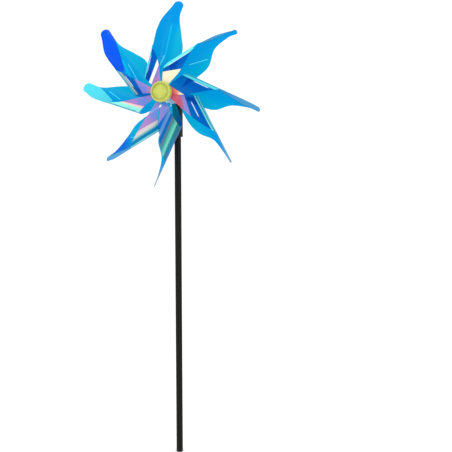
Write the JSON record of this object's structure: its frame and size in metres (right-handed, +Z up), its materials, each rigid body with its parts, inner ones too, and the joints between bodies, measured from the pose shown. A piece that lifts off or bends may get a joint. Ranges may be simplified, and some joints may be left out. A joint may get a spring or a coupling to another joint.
{
  "type": "wind spinner",
  "caption": "Push-in garden wind spinner: a ring of curled S-tipped iridescent film vanes on a capped hub that spins on a tilted axle at the top of a black stick.",
  "frame": {"origin": "centre of the stick's flat bottom end", "axes": "+Z up along the stick, the wheel faces -Y with its axle tilted 6.5 degrees up at the front, +X to the right seen from the front"},
  "size_m": [0.3041, 0.0999, 0.7544],
  "materials": {
    "film": "glossy iridescent transparent film",
    "lime_cap": "satin moulded plastic",
    "hub_plastic": "translucent moulded plastic",
    "clear_bead": "glossy",
    "steel": "drawn wire",
    "black_plastic": "satin moulded plastic",
    "black_stick": "drawn plastic tube, dull sheen"
  },
  "bodies": {
    "stand": {"stick_tube": "black_stick", "stick_end_plug": "black_plastic"},
    "head": {"head_socket": "black_plastic", "axle_pin": "steel", "axle_rear_cap": "black_plastic", "spacer_bead": "clear_bead", "axle_push_nut": "steel"},
    "wheel": {"hub_spool": "hub_plastic", "rear_clamp_washer": "hub_plastic", "hub_spacer_tube": "hub_plastic", "front_clamp_washer": "hub_plastic", "front_cap": "lime_cap", "vane_1": "film", "vane_2": "film", "vane_3": "film", "vane_4": "film", "vane_5": "film", "vane_6": "film", "vane_7": "film", "vane_8": "film"}
  },
  "joints": [
    {"name": "head_swivel", "type": "hinge", "parent": "stand", "child": "head", "pos_m": [0, 0, 0.56], "axis": [0, 0, 1], "continuous": true},
    {"name": "wheel_spin", "type": "hinge", "parent": "head", "child": "wheel", "pos_m": [0, -0.04968, 0.60566], "axis": [0, -0.9936, 0.1132], "continuous": true}
  ]
}
